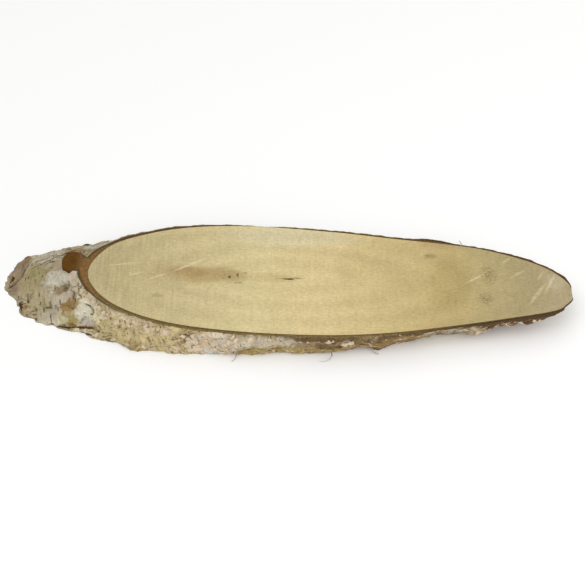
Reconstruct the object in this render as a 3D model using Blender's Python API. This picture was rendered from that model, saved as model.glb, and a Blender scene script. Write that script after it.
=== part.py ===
"""Oval birch slice with its bark on.

A birch log is sawn through twice on a long slant, THICKNESS apart. The slant turns the round log
into a long oval board with two flat faces. The log comes down towards -X, so the bark of the
left end is a ramp that faces up, and the bark of the right end is undercut. The slice lies on its
lower cut, with +X along the oval, +Y away from the near edge, +Z up, and the origin on the
surface that it lies on, at the middle of its footprint.

The slice is one solid: bark and wood grew as one. Three materials mark what the saw has laid bare.
"""

from math import exp, hypot, radians

import bmesh
import bpy
from mathutils import Vector, noise

MM = 0.001

# Driving sizes
THICKNESS = 18.0 * MM  # between the two saw cuts
LOG_RUN = 52.0 * MM  # how far the log runs sideways while it comes down by THICKNESS

# Edge of the bare wood on the upper cut, in mm, anticlockwise from the right end
WOOD_EDGE_MM = (
    (196.0, -2.0),
    (191.5, 13.0),
    (174.5, 26.0),
    (142.0, 37.5),
    (112.0, 42.5),
    (74.0, 46.0),
    (29.0, 50.5),
    (-28.0, 53.0),
    (-73.0, 49.0),
    (-106.0, 39.0),
    (-128.5, 25.5),
    (-139.5, 3.0),
    (-130.5, -17.0),
    (-109.0, -33.0),
    (-75.0, -44.0),
    (-27.0, -49.0),
    (27.0, -49.0),
    (70.0, -44.5),
    (108.0, -36.8),
    (150.0, -26.5),
    (182.0, -17.5),
    (191.0, -11.0),
)

# Width of the bark's ring on the cut, on the side that faces each way
BARK_NEAR = 3.6 * MM
BARK_FAR = 2.2 * MM
BARK_LEFT = 5.0 * MM
BARK_RIGHT = 1.0 * MM

# Places where the bark swells (+) or has broken away (-): centre, reach and height, all in mm
SWELLS_MM = (
    ((-99.0, -54.0, 1.0), 7.0, 5.4),  # burl at the lower left
    ((-145.0, -38.0, 0.0), 24.0, -2.2),  # flat stretch left of the burl
    ((-131.0, -40.0, 2.0), 11.0, -3.0),
    ((-182.0, -25.0, 0.0), 6.0, 1.6),  # corner at the lower left
    ((-191.0, -11.0, 0.0), 6.0, -0.6),
    ((-198.0, 0.0, 0.0), 5.0, 0.9),  # tip
    ((-195.0, 15.0, 0.0), 8.0, 0.8),  # lip along the upper left
    ((-188.0, 30.0, 0.0), 9.0, 2.6),
    ((-173.0, 38.0, 0.0), 10.0, 1.6),
    ((-139.0, 40.0, 9.0), 14.0, -2.4),
    ((-68.0, -53.0, 2.0), 20.0, 3.0),
    ((-36.0, -54.0, 2.0), 18.0, 2.4),
    ((12.0, -52.0, 1.0), 12.0, 1.6),
    ((27.0, -50.0, 2.0), 7.0, 1.4),
    ((42.0, -47.0, 2.0), 10.0, 1.4),
    ((64.0, -41.0, 2.0), 10.0, 5.0),
    ((84.0, -36.0, 3.0), 9.0, 1.4),
    ((108.0, -30.0, 6.0), 8.0, -1.8),  # notch where a plate is gone
    ((132.0, -29.0, 8.0), 11.0, 4.4),
    ((158.0, -23.0, 11.0), 11.0, 2.4),
    ((176.0, -19.0, 13.0), 9.0, 2.4),
    ((95.0, 45.0, 17.0), 12.0, 2.0),
    ((-19.0, 55.0, 17.0), 13.0, -1.6),  # bare stretch of the far edge
)

# Stub of a branch on the ramp, which the upper cut has planed off: middle and half sizes from above
STUB_CENTRE_MM = (-148.6, 11.4)
STUB_REACH_MM = (8.6, 10.2)
STUB_HEIGHT = 7.0 * MM  # over the bark round it, before the saw
STUB_SLOPE = 0.35  # width of its side, as a share of its half size

# Relief of the bark: spacing and height of each kind
SWELL_SPACING = 30.0 * MM
SWELL_HEIGHT = 1.5 * MM
PLATE_SPACING = 13.0 * MM
PLATE_HEIGHT = 1.3 * MM
CRUMB_SPACING = 5.0 * MM
CRUMB_HEIGHT = 1.0 * MM
FURROW_SHARPNESS = 3.0  # how steeply a plate rises from the furrow round it
TRUNK_STRETCH = 0.75  # the pattern is this much finer around the trunk than along it
WORN_EDGE = 3.5 * MM  # the relief fades over this depth towards a cut
LEFT_AT_CUT = 0.25  # share of the relief that is left at a cut

# Mesh of the log
COLUMNS = 260  # around the log
ROWS = 22  # along it
OVERRUN = 0.22  # how far the log is drawn past each cut, as a share of the slice
WOOD_LINE_POINTS = 72  # around the edge of the bare wood on each cut
SNAP = 0.25 * MM  # points this near a cut are moved onto it

# Colours, linear
SAWN_WOOD = (0.60, 0.47, 0.23, 1.0)
INNER_BARK = (0.13, 0.08, 0.035, 1.0)
OUTER_BARK = (0.47, 0.40, 0.28, 1.0)


def closed_curve(points, steps):
    """Even points along the smooth closed curve through the given ones (Catmull-Rom)."""
    count = len(points)
    fine = []
    for i in range(count):
        a, b, c, d = (Vector(points[(i + k) % count]) for k in (-1, 0, 1, 2))
        for j in range(steps):
            t = j / steps
            square = (2 * a - 5 * b + 4 * c - d) * t**2
            cube = (3 * b - a - 3 * c + d) * t**3
            fine.append(0.5 * (2 * b + (c - a) * t + square + cube))
    return fine


def evenly(points, count):
    """The given number of points at equal distances along a closed line."""
    total = sum((points[i] - points[i - 1]).length for i in range(len(points)))
    step = total / count
    out, left, here = [], 0.0, 0
    while len(out) < count:
        a, b = points[here % len(points)], points[(here + 1) % len(points)]
        span = (b - a).length
        while left < span and len(out) < count:
            out.append(a.lerp(b, left / span))
            left += step
        left -= span
        here += 1
    return out


def outward(points, i):
    """Unit normal of a closed anticlockwise line at point i, pointing out."""
    along = points[(i + 1) % len(points)] - points[i - 1]
    return Vector((along.y, -along.x)).normalized()


def bark_width(normal):
    """Width of the bark's ring on the cut, where its outer side faces this way."""
    near, far = max(-normal.y, 0) ** 2, max(normal.y, 0) ** 2
    left, right = max(-normal.x, 0) ** 2, max(normal.x, 0) ** 2
    return BARK_NEAR * near + BARK_FAR * far + BARK_LEFT * left + BARK_RIGHT * right


def trunk_direction():
    """Up the log, from the lower cut to the upper one."""
    return Vector((LOG_RUN, 0, THICKNESS)).normalized()


def wall_normal(normal):
    """Outward normal of the log's side, whose plan normal is given."""
    return Vector((normal.x * THICKNESS, normal.y * THICKNESS, -normal.x * LOG_RUN)).normalized()


def stretched(point, spacing):
    """The point in units of a pattern's spacing, with the pattern longer along the trunk."""
    trunk = trunk_direction()
    along = point.dot(trunk)
    return (point - trunk * along * (1 - TRUNK_STRETCH)) / spacing


def plates(point):
    """0 to 1: broken plates at uneven heights, with furrows between them."""
    distances, centres = noise.voronoi(stretched(point, PLATE_SPACING))
    furrow = min((distances[1] - distances[0]) * FURROW_SHARPNESS, 1.0)
    lift = 0.5 + 0.5 * noise.cell(centres[0] * 10)
    return furrow * lift


def worn(point, wall):
    """Share of the relief that is left: less beside a cut, and least where the edge is thin."""
    depth = max(min(point.z, THICKNESS - point.z), 0.0)
    thin = 1 - hypot(wall.x, wall.y) if point.z < THICKNESS / 2 else 1.0
    return 1 - thin * (1 - LEFT_AT_CUT) * max(1 - depth / WORN_EDGE, 0.0)


def relief(point, wall):
    """Height of the bark over the smooth log at a point of its side."""
    swell = noise.noise(point / SWELL_SPACING) * SWELL_HEIGHT
    plate = (plates(point) - 0.5) * PLATE_HEIGHT
    crumb = noise.noise(stretched(point, CRUMB_SPACING)) * CRUMB_HEIGHT
    height = (swell + plate + crumb) * worn(point, wall)
    for centre, reach, lift in SWELLS_MM:
        distance = (point - Vector(centre) * MM).length / (reach * MM)
        height += lift * MM * exp(-distance * distance)
    return height + stub(point)


def stub(point):
    """Height that the branch's stub adds: a steep-sided knob with a flat top."""
    across = (point.x / MM - STUB_CENTRE_MM[0]) / STUB_REACH_MM[0]
    along = (point.y / MM - STUB_CENTRE_MM[1]) / STUB_REACH_MM[1]
    return STUB_HEIGHT * min(max((1 - hypot(across, along)) / STUB_SLOPE, 0.0), 1.0)


def log_side(rim):
    """The bark's side of the log as an open tube, drawn a little past both cuts."""
    bm = bmesh.new()
    bmesh.ops.create_grid(bm, x_segments=COLUMNS, y_segments=ROWS, size=0.5)
    for vert in bm.verts:
        column = round((vert.co.x + 0.5) * COLUMNS) % COLUMNS
        level = (vert.co.y + 0.5) * (1 + 2 * OVERRUN) - OVERRUN
        normal = outward(rim, column)
        edge = rim[column] + normal * bark_width(normal)
        smooth = Vector((edge.x + LOG_RUN * (level - 1), edge.y, THICKNESS * level))
        wall = wall_normal(normal)
        vert.co = smooth + wall * relief(smooth, wall)
    bmesh.ops.remove_doubles(bm, verts=bm.verts, dist=0.001 * MM)
    bmesh.ops.recalc_face_normals(bm, faces=bm.faces)
    return bm


def saw(bm, height, keep_below):
    """Saws the log level at this height and drops what is past the cut."""
    bmesh.ops.bisect_plane(
        bm,
        geom=bm.verts[:] + bm.edges[:] + bm.faces[:],
        dist=SNAP,
        plane_co=(0, 0, height),
        plane_no=(0, 0, 1 if keep_below else -1),
        use_snap_center=True,
        clear_outer=True,
    )


def close_cut(bm, rim, height, bark_index, wood_index):
    """Fills a cut: the wood inside its edge line, and the ring of inner bark round it."""
    loop = [e for e in bm.edges if e.is_boundary and all(abs(v.co.z - height) < SNAP for v in e.verts)]
    for vert in {v for e in loop for v in e.verts}:
        vert.co.z = height
    slide = LOG_RUN * (height / THICKNESS - 1)
    line = [bm.verts.new((p.x + slide, p.y, height)) for p in evenly(rim, WOOD_LINE_POINTS)]
    edges = [bm.edges.new((line[i - 1], line[i])) for i in range(len(line))]
    wood = bm.faces.new(line)
    wood.material_index = wood_index
    ring = bmesh.ops.triangle_fill(bm, use_beauty=True, use_dissolve=False, edges=loop + edges)
    for face in ring["geom"]:
        if isinstance(face, bmesh.types.BMFace):
            face.material_index = bark_index


def material(name, colour, roughness):
    made = bpy.data.materials.new(name)
    made.use_nodes = True
    made.diffuse_color = colour
    shader = made.node_tree.nodes["Principled BSDF"]
    shader.inputs["Base Color"].default_value = colour
    shader.inputs["Roughness"].default_value = roughness
    return made


def birch_slice():
    """The whole slice as one closed solid."""
    rim = [p * MM for p in evenly(closed_curve(WOOD_EDGE_MM, 24), COLUMNS)]
    bm = log_side(rim)
    saw(bm, THICKNESS, keep_below=True)
    saw(bm, 0.0, keep_below=False)
    close_cut(bm, rim, THICKNESS, 1, 2)
    close_cut(bm, rim, 0.0, 1, 2)
    bmesh.ops.recalc_face_normals(bm, faces=bm.faces)
    mesh = bpy.data.meshes.new("birch_slice")
    bm.to_mesh(mesh)
    bm.free()
    mesh.materials.append(material("outer_bark", OUTER_BARK, 0.85))
    mesh.materials.append(material("inner_bark", INNER_BARK, 0.9))
    mesh.materials.append(material("sawn_birch", SAWN_WOOD, 0.7))
    mesh.shade_smooth()
    mesh.set_sharp_from_angle(angle=radians(40))
    slice_object = bpy.data.objects.new("birch_slice", mesh)
    bpy.context.scene.collection.objects.link(slice_object)


def main():
    for old in list(bpy.data.objects):
        bpy.data.objects.remove(old)
    birch_slice()


main()
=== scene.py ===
"""Birch slice: the looks of a long oval board, sawn on a slant from a birch log with its bark on.

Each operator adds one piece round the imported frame: the sawn wood, the ring of inner bark, the outer
bark, the branch stub, the loose plates, the paper flakes, the bast fibres and the studio.
"""

import random
from math import atan2, cos, exp, hypot, pi, radians, sin

import bmesh
import bpy
from bpy.props import FloatProperty, FloatVectorProperty, IntProperty, PointerProperty
from mathutils import Matrix, Vector, noise


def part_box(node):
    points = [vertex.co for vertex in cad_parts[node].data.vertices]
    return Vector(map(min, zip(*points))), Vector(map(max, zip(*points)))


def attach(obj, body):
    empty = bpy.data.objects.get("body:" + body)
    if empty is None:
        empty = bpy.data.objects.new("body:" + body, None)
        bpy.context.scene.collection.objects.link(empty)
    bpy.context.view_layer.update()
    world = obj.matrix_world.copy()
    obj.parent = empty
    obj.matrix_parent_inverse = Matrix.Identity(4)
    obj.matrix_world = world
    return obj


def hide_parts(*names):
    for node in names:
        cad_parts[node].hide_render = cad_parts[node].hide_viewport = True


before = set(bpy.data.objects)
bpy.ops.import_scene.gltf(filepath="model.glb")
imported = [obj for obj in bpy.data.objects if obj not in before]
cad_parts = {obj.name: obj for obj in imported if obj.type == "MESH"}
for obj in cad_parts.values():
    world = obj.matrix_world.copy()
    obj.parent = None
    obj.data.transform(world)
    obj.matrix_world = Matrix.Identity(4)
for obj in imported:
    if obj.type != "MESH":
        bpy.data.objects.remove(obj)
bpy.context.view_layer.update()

bl_info = {
    "name": "Birch Slice",
    "version": (1, 0, 0),
    "blender": (4, 5, 0),
    "location": "View3D > Sidebar > Birch Slice",
    "description": "Adds the pieces of a slanted birch slice with its bark on",
    "category": "Add Mesh",
}

MM = 0.001
LOW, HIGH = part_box("birch_slice")
THICKNESS = HIGH.z - LOW.z

# Edge of the bare wood on the upper cut, in mm, anticlockwise from the right end
WOOD_EDGE_MM = (
    (196, -2),
    (191.5, 13),
    (174.5, 26),
    (142, 37.5),
    (112, 42.5),
    (74, 46),
    (29, 50.5),
    (-28, 53),
    (-73, 49),
    (-106, 39),
    (-128.5, 25.5),
    (-139.5, 3),
    (-130.5, -17),
    (-109, -33),
    (-75, -44),
    (-27, -49),
    (27, -49),
    (70, -44.5),
    (108, -36.8),
    (150, -26.5),
    (182, -17.5),
    (191, -11),
)

CURVE_STEPS = 80  # of the smooth curve, between two of those points
WELD = 0.001 * MM  # points that lie nearer together than this become one

# Places where the bark swells (+) or has broken away (-): centre, reach and height, all in mm
SWELLS_MM = (
    ((-99, -54, 1), 7, 5.4),  # burl at the lower left
    ((-145, -38, 0), 24, -2.2),  # flat stretch left of the burl
    ((-131, -40, 2), 11, -3),
    ((-182, -25, 0), 6, 1.6),  # corner at the lower left
    ((-191, -11, 0), 6, -0.6),
    ((-198, 0, 0), 5, 0.9),  # tip
    ((-195, 15, 0), 8, 0.8),  # lip along the upper left
    ((-188, 30, 0), 9, 2.6),
    ((-173, 38, 0), 10, 1.6),
    ((-139, 40, 9), 14, -2.4),
    ((-68, -53, 2), 20, 3),
    ((-36, -54, 2), 18, 2.4),
    ((12, -52, 1), 12, 1.6),
    ((27, -50, 2), 7, 1.4),
    ((42, -47, 2), 10, 1.4),
    ((64, -41, 2), 10, 5),
    ((84, -36, 3), 9, 1.4),
    ((108, -30, 6), 8, -1.8),  # notch where a plate is gone
    ((132, -29, 8), 11, 4.4),
    ((158, -23, 11), 11, 2.4),
    ((176, -19, 13), 9, 2.4),
    ((95, 45, 17), 12, 2),
    ((-19, 55, 17), 13, -1.6),  # bare stretch of the far edge
)

# Stub of a branch on the ramp, which the upper cut has planed off: middle and half sizes from above
STUB_CENTRE_MM = (-148.6, 11.4)
STUB_REACH_MM = (8.6, 10.2)
STUB_HEIGHT = 7.0 * MM
STUB_SLOPE = 0.35

# Coarse relief of the bark, the same as the solid's
SWELL_SPACING = 30.0 * MM
SWELL_HEIGHT = 1.5 * MM
PLATE_SPACING = 13.0 * MM
PLATE_HEIGHT = 1.3 * MM
CRUMB_SPACING = 5.0 * MM
CRUMB_HEIGHT = 1.0 * MM
FURROW_SHARPNESS = 3.0
TRUNK_STRETCH = 0.75
WORN_EDGE = 3.5 * MM
LEFT_AT_CUT = 0.25

# Fine relief of the bark
LAYER_SPACING = 16.0 * MM
LAYERS = 2.5  # papery layers that peel off in turn
LAYER_HEIGHT = 0.45 * MM
LAYER_RISE = 0.8  # share of a layer that is level before it climbs to the next
FOOT_WIDTH = 0.1  # of the line of painted shade at the foot of a torn layer
CRUST_SPACING = 2.8 * MM
CRUST_HEIGHT = 0.55 * MM
GRIT_SPACING = 1.7 * MM
GRIT_HEIGHT = 0.2 * MM
BARE_GRIT = 0.3  # share of the grit that is left where the bark is smooth
WORN_FINE = 0.6  # and of the fine relief, beside a cut through a steep side
RAGGED_MM = (95.0, 133.0)  # between these places on X the bark turns more than twice as ragged
RAGGED = 1.4
CRUMBLE_DEPTH = 2.6 * MM  # along the near side the bark's upper edge has crumbled over this height
CRUMBLE = 1.1 * MM
HEM_DEPTH = 3.0 * MM  # the bark is torn ragged over this height above the lower cut
HEM_HEIGHT = 1.1 * MM
CRACKED = 9.0 * MM  # spacing of the stretches where torn layers get painted shade at their feet

# Stretches of smooth bark, where the scales have gone: centre, reach, share of the scales gone
SMOOTH_MM = (
    ((-180, 3, 5), (13, 13, 8), 0.8),
    ((-156, 0, 13), (11, 8, 6), 0.6),
    ((-154, -19, 10), (9, 6, 6), 0.8),
    ((-135, -30, 11), (9, 10, 7), 0.95),
    ((-8, -53, 12), (27, 6, 5), 0.85),
)

# Creases in the bark, along lines of points: width, depth and how far the bark beside them lifts. Painted
# shade darkens the inside of each
CREASES_MM = (
    (0.8, 1.1, 0.7, ((-194, -1.5, 0.6), (-190.9, 1.5, 1.8), (-187.3, 6.5, 2.9), (-185, 13.6, 3.4))),
    (0.8, 1.1, 0.9, ((-185, 13.6, 3.4), (-183.1, 19.6, 3.5), (-179.4, 24.1, 4.2))),
    (0.7, 0.7, 0.3, ((-180.5, 13.5, 5.7), (-175.8, 15.8, 6.7), (-171.3, 19, 6.8), (-161.4, 27.4, 6.9))),
    (0.6, 0.6, 0.3, ((-178.1, 20.6, 4.8), (-170.9, 23.8, 5.4), (-164, 28.3, 5.9))),
    (0.6, 0.9, 0.2,
     ((-143.2, -8.2, 17.1), (-142.4, -13.4, 16.3), (-141.9, -17.6, 14.9), (-140.3, -19.3, 14.8))),
    (1.3, 0.7, 0.1, ((-145.8, -14.7, 14.6), (-145.2, -20.3, 12.5))),
    (0.6, 0.9, 0.3, ((-142, -20.4, 13.8), (-141.8, -25.3, 11.1))),
    (0.6, 0.6, 0.2, ((-142, -20.8, 13.8), (-137, -22.6, 14.6))),
    (0.9, 1.2, 0.5, ((-135.7, -25.8, 14), (-132.7, -27.5, 14), (-130.4, -30.1, 12.8), (-129.6, -32, 11.6))),
    (0.8, 1.2, 0.4, ((-136.4, -30.7, 10.1), (-135.6, -32.5, 8.1), (-138, -33.7, 6.2), (-138.9, -35.4, 5))),
    (0.7, 1.1, 0.6,
     ((-131.7, -32.1, 10.9), (-129.4, -33.1, 11.1), (-127.2, -36.1, 8.5), (-125.7, -37.9, 6.5))),
    (0.8, 1.1, 0.6, ((-125.7, -37.9, 6.5), (-124.2, -39.6, 5.6), (-122.8, -42.3, 3.8), (-122.2, -44.5, 2))),
    (1, 1.3, 0.9, ((-154, -35.6, 0.8), (-144, -37.6, 1.8))),
    (1.4, 1.8, 1, ((-144, -37.6, 1.8), (-135, -38.1, 3), (-130, -38.6, 3.8), (-125.8, -41.5, 4))),
    (0.7, 0.8, 0.1, ((-186.1, -9.1, 1.5), (-185.6, -12.4, 1))),
    (0.9, 0.9, 0.1, ((-179.2, -9, 3.9), (-178.4, -15.1, 2.2))),
    (0.6, 0.7, 0.1, ((-176.8, -10, 4.4), (-176.6, -13, 3.6))),
    (0.7, 0.9, 0.1, ((-160.4, -6.8, 11.6), (-160, -10.2, 10.2))),
    (0.6, 0.9, 0.1, ((-157.8, -21.8, 7.4), (-157.5, -24.6, 6.4))),
    (0.7, 0.9, 0.2, ((-150.1, -5.8, 15.1), (-149.9, -9.6, 15.1))),
    (2.2, 2.2, 0.1, ((-152.3, -10.9, 13.8), (-151.7, -12.4, 13.4))),
    (1.2, 0.6, 0.1, ((-162.1, -18.9, 7.1), (-160.9, -23.3, 5.9))),
    (0.7, 0.8, 0.1, ((-171.8, -21.5, 3.3), (-171.2, -23.5, 2.5))),
    (0.7, 0.8, 0.1, ((-166, -22.2, 4.3), (-165.7, -25, 3.4))),
    (0.8, 0.9, 0.1, ((-154.6, -29.3, 4.6), (-153.7, -31.6, 3.1))),
    (0.6, 0.8, 0.1, ((-152.5, -28.2, 6.5), (-152.4, -29.9, 5.1))),
    (0.7, 0.5, 0.1, ((-175.8, 2.9, 6.8), (-175.3, -1, 6.8))),
    (0.8, 0.9, 0.2, ((-118.6, -36, 15), (-117.4, -38.4, 13.6))),
    (0.6, 0.8, 0.2, ((-104, -42, 14.6), (-103, -44.4, 12.6))),
    (0.8, 1, 0.2, ((-91, -49.4, 8.6), (-89.6, -51.4, 6.6))),
    (0.8, 0.9, 0.2, ((-80, -50.6, 9.6), (-79, -52.2, 7.6))),
    (0.7, 0.9, 0.2, ((-66, -52, 12), (-65.2, -53.2, 9.4))),
)


def closed_curve(points, steps):
    """Even points along the smooth closed curve through the given ones (Catmull-Rom)."""
    count = len(points)
    fine = []
    for i in range(count):
        a, b, c, d = (Vector(points[(i + k) % count]) for k in (-1, 0, 1, 2))
        for j in range(steps):
            t = j / steps
            square = (2 * a - 5 * b + 4 * c - d) * t**2
            cube = (3 * b - a - 3 * c + d) * t**3
            fine.append(0.5 * (2 * b + (c - a) * t + square + cube))
    return fine


def evenly(points, count):
    """The given number of points at equal distances along a closed line."""
    total = sum((points[i] - points[i - 1]).length for i in range(len(points)))
    step = total / count
    out, left, here = [], 0.0, 0
    while len(out) < count:
        a, b = points[here % len(points)], points[(here + 1) % len(points)]
        span = (b - a).length
        while left < span and len(out) < count:
            out.append(a.lerp(b, left / span))
            left += step
        left -= span
        here += 1
    return out


def wood_edge(count):
    """Edge of the bare wood on the upper cut, as that many points in metres."""
    return [point * MM for point in evenly(closed_curve(WOOD_EDGE_MM, CURVE_STEPS), count)]


def outward(points, i):
    """Unit normal of a closed anticlockwise line at point i, pointing out."""
    along = points[(i + 1) % len(points)] - points[i - 1]
    return Vector((along.y, -along.x)).normalized()


def ramp(low, high, value):
    """0 at low, 1 at high, straight between."""
    return min(max((value - low) / (high - low), 0.0), 1.0)


class Log:
    """The round log that the slice is sawn from: its side, and the relief of its bark."""

    def __init__(self, columns):
        self.sizes = bpy.context.scene.birch_sizes
        self.columns = columns
        self.rim = wood_edge(columns)
        self.normals = [outward(self.rim, i) for i in range(columns)]
        self.trunk = Vector((self.sizes.log_run, 0, THICKNESS))
        self.up = self.trunk.normalized()

    def bark_width(self, normal):
        """Width of the bark's ring on the cut, where its outer side faces this way."""
        near, far = max(-normal.y, 0) ** 2, max(normal.y, 0) ** 2
        left, right = max(-normal.x, 0) ** 2, max(normal.x, 0) ** 2
        s = self.sizes
        return s.bark_near * near + s.bark_far * far + s.bark_left * left + s.bark_right * right

    def side(self, column, level):
        """A point of the log's smooth side and its normal, level 0 at the lower cut and 1 at the upper."""
        normal = self.normals[column]
        edge = self.rim[column] + normal * self.bark_width(normal)
        point = Vector((edge.x, edge.y, THICKNESS)) + self.trunk * (level - 1)
        wall = Vector((normal.x * THICKNESS, normal.y * THICKNESS, -normal.x * self.sizes.log_run))
        return point, wall.normalized()

    def reach(self, column, level):
        """How far the finished bark stands out past the wood's edge, measured level with the cuts."""
        point, wall = self.side(column, level)
        return self.bark_width(self.normals[column]) + self.bark(point, wall)[0] / hypot(wall.x, wall.y)

    def beside(self, x, z, far):
        """Column and level of the log's near or far side at this x and height."""
        level = z / THICKNESS
        shift = self.trunk.x * (level - 1)
        columns = [i for i in range(self.columns) if (self.normals[i].y > 0) == far]
        return min(columns, key=lambda i: abs(self.rim[i].x + shift - x)), level

    def under(self, point):
        """Column and level of the log's side that a point lies on."""
        best, column = 1.0, 0
        for i in range(self.columns):
            away = point - self.side(i, 1.0)[0]
            distance = (away - self.up * away.dot(self.up)).length
            if distance < best:
                best, column = distance, i
        away = point - self.side(column, 1.0)[0]
        return column, 1 + away.dot(self.up) / self.trunk.length

    def stretched(self, point, spacing):
        """The point in units of a pattern's spacing, with the pattern longer along the trunk."""
        return (point - self.up * point.dot(self.up) * (1 - TRUNK_STRETCH)) / spacing

    def coarse(self, point, wall):
        """Height of the bark over the smooth log: swellings, plates and crumbs, as in the solid."""
        swell = noise.noise(point / SWELL_SPACING) * SWELL_HEIGHT
        distances, centres = noise.voronoi(self.stretched(point, PLATE_SPACING))
        furrow = min((distances[1] - distances[0]) * FURROW_SHARPNESS, 1.0)
        plate = furrow * (0.5 + 0.5 * noise.cell(centres[0] * 10)) - 0.5
        crumb = noise.noise(self.stretched(point, CRUMB_SPACING))
        height = (swell + plate * PLATE_HEIGHT + crumb * CRUMB_HEIGHT) * worn(point, wall, LEFT_AT_CUT)
        for centre, reach, lift in SWELLS_MM:
            distance = (point - Vector(centre) * MM).length / (reach * MM)
            if distance < 3:
                height += lift * MM * exp(-distance * distance)
        return height

    def layers(self, point):
        """Height of the papery layers left at a point, the top one's tone, and the painted shade at the foot
        of its torn edge.
        """
        left = noise.fractal(self.stretched(point, LAYER_SPACING), 0.8, 2.1, 4) * LAYERS
        part = left % 1.0
        top = left - part
        height = (top + ramp(LAYER_RISE, 1.0, part)) * LAYER_HEIGHT
        tone = noise.cell(Vector((top + 0.5, 0.5, 0.5)))
        # painted shade along the foot of each layer's step
        foot = exp(-(((part - LAYER_RISE) / FOOT_WIDTH) ** 2)) * ramp(-0.1, 0.2, noise.noise(point / CRACKED))
        return height, tone, foot

    def bark(self, point, wall):
        """Height of the finished bark over the smooth log, the painted shade in its creases and at the feet
        of its layers, and its layer's tone.
        """
        rough = 1 - smoothness(point)
        layer, tone, foot = self.layers(point)
        ragged = 1 + RAGGED * ramp(*RAGGED_MM, point.x / MM)
        crust = noise.noise(self.stretched(point, CRUST_SPACING)) * CRUST_HEIGHT * ragged
        grit = noise.noise(point / GRIT_SPACING) * GRIT_HEIGHT * ragged
        steep = hypot(wall.x, wall.y) ** 4
        hem = exp(-max(point.z, 0) / HEM_DEPTH) * steep * HEM_HEIGHT * ragged
        tear = noise.noise(point / CRUST_SPACING) + noise.noise(point / CRUMB_SPACING)
        near = max(-wall.y, 0) ** 2 * ramp(CRUMBLE_DEPTH, 0, THICKNESS - point.z) * (1 + 0.8 * tear)
        fold, dark = creased(point, wall)
        grit *= BARE_GRIT + (1 - BARE_GRIT) * rough
        fine = ((layer + crust) * rough + grit) * worn(point, wall, WORN_FINE * steep)
        height = self.coarse(point, wall) + fine + fold + hem * tear + stub(point)
        height -= near * CRUMBLE * (0.5 + 0.5 * ragged)
        return height, max(foot * rough, dark), tone


def worn(point, wall, least):
    """Share of the relief that is left: less beside a cut, and least where the edge is thin."""
    depth = max(min(point.z, THICKNESS - point.z), 0.0)
    thin = 1 - hypot(wall.x, wall.y) if point.z < THICKNESS / 2 else 1.0
    return 1 - thin * (1 - least) * max(1 - depth / WORN_EDGE, 0.0)


def smoothness(point):
    """How much of the scales is gone at a point of the bark, 0 to 1."""
    gone = 0.0
    for centre, reach, share in SMOOTH_MM:
        away = point / MM - Vector(centre)
        distance = Vector(away[i] / reach[i] for i in range(3)).length
        gone = max(gone, share * (1 - ramp(0.7, 1.25, distance)))
    return gone


def bounded(creases):
    """Each crease with the middle of its line and how far from there it can reach, in mm."""
    out = []
    for width, depth, lift, line in creases:
        points = [Vector(p) for p in line]
        middle = sum(points, Vector()) / len(points)
        out.append((middle, max((p - middle).length for p in points) + 4 * width, width, depth, lift, points))
    return out


CREASES = bounded(CREASES_MM)


def creased(point, wall):
    """Height that the creases add at a point of the bark, and how much painted shade falls in them there, 0
    to 1.
    """
    height, dark = 0.0, 0.0
    here = point / MM
    for middle, far, width, depth, lift, line in CREASES:
        if (here - middle).length > far:
            continue
        nearest = far
        for a, b in zip(line, line[1:]):
            share = ramp(0, (b - a).length_squared, (here - a).dot(b - a))
            away = here - a.lerp(b, share)
            nearest = min(nearest, (away - wall * away.dot(wall)).length)
        inside = exp(-((nearest / (0.6 * width)) ** 2))
        height += (lift * exp(-((nearest / (1.6 * width)) ** 2)) - (depth + lift) * inside) * MM
        # painted shade inside the crease
        dark = max(dark, inside)
    return height, dark


def stub(point):
    """Height that the branch's stub adds: a steep-sided knob with a flat top."""
    across = (point.x / MM - STUB_CENTRE_MM[0]) / STUB_REACH_MM[0]
    along = (point.y / MM - STUB_CENTRE_MM[1]) / STUB_REACH_MM[1]
    return STUB_HEIGHT * ramp(0, STUB_SLOPE, 1 - hypot(across, along))


def linear(code):
    """Linear colour of an sRGB hex code."""
    channels = [int(code[i : i + 2], 16) / 255 for i in (1, 3, 5)]
    return (*[c / 12.92 if c <= 0.04045 else ((c + 0.055) / 1.055) ** 2.4 for c in channels], 1.0)


def length(name, description, millimetres):
    """A size property with its default in millimetres."""
    return FloatProperty(
        name=name,
        description=description,
        default=millimetres * MM,
        min=0.0,
        precision=4,
        subtype="DISTANCE",
        unit="LENGTH",
    )


def colour(name, description, code):
    """A colour property with its default as an sRGB hex code."""
    return FloatVectorProperty(
        name=name, description=description, default=linear(code), size=4, min=0.0, max=1.0, subtype="COLOR"
    )


class BirchSizes(bpy.types.PropertyGroup):
    """Sizes of the slice that a user would change"""

    log_run: length("Log run", "How far the log runs sideways while it comes down by the thickness", 52.0)
    bark_near: length("Bark, near side", "Width of the bark on the cut along the near edge", 3.6)
    bark_far: length("Bark, far side", "Width of the bark on the cut along the far edge", 2.2)
    bark_left: length("Bark, left end", "Width of the bark on the cut at the left end", 5.0)
    bark_right: length("Bark, right end", "Width of the bark on the cut at the right end", 1.0)
    bark_drop: length("Bark drop", "How far the bark's cut has crumbled below the wood's", 0.35)
    crust: length("Crust", "Thickness of the outer bark", 1.6)
    stub_drop: length("Stub drop", "How far the branch stub's face lies below the cut", 0.08)
    flakes: FloatProperty(
        name="Flakes", description="Share of the paper flakes", default=1, min=0, max=1, subtype="FACTOR"
    )
    fibres: IntProperty(name="Fibres", description="Number of fibres on the near edge", default=90, min=0)


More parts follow.
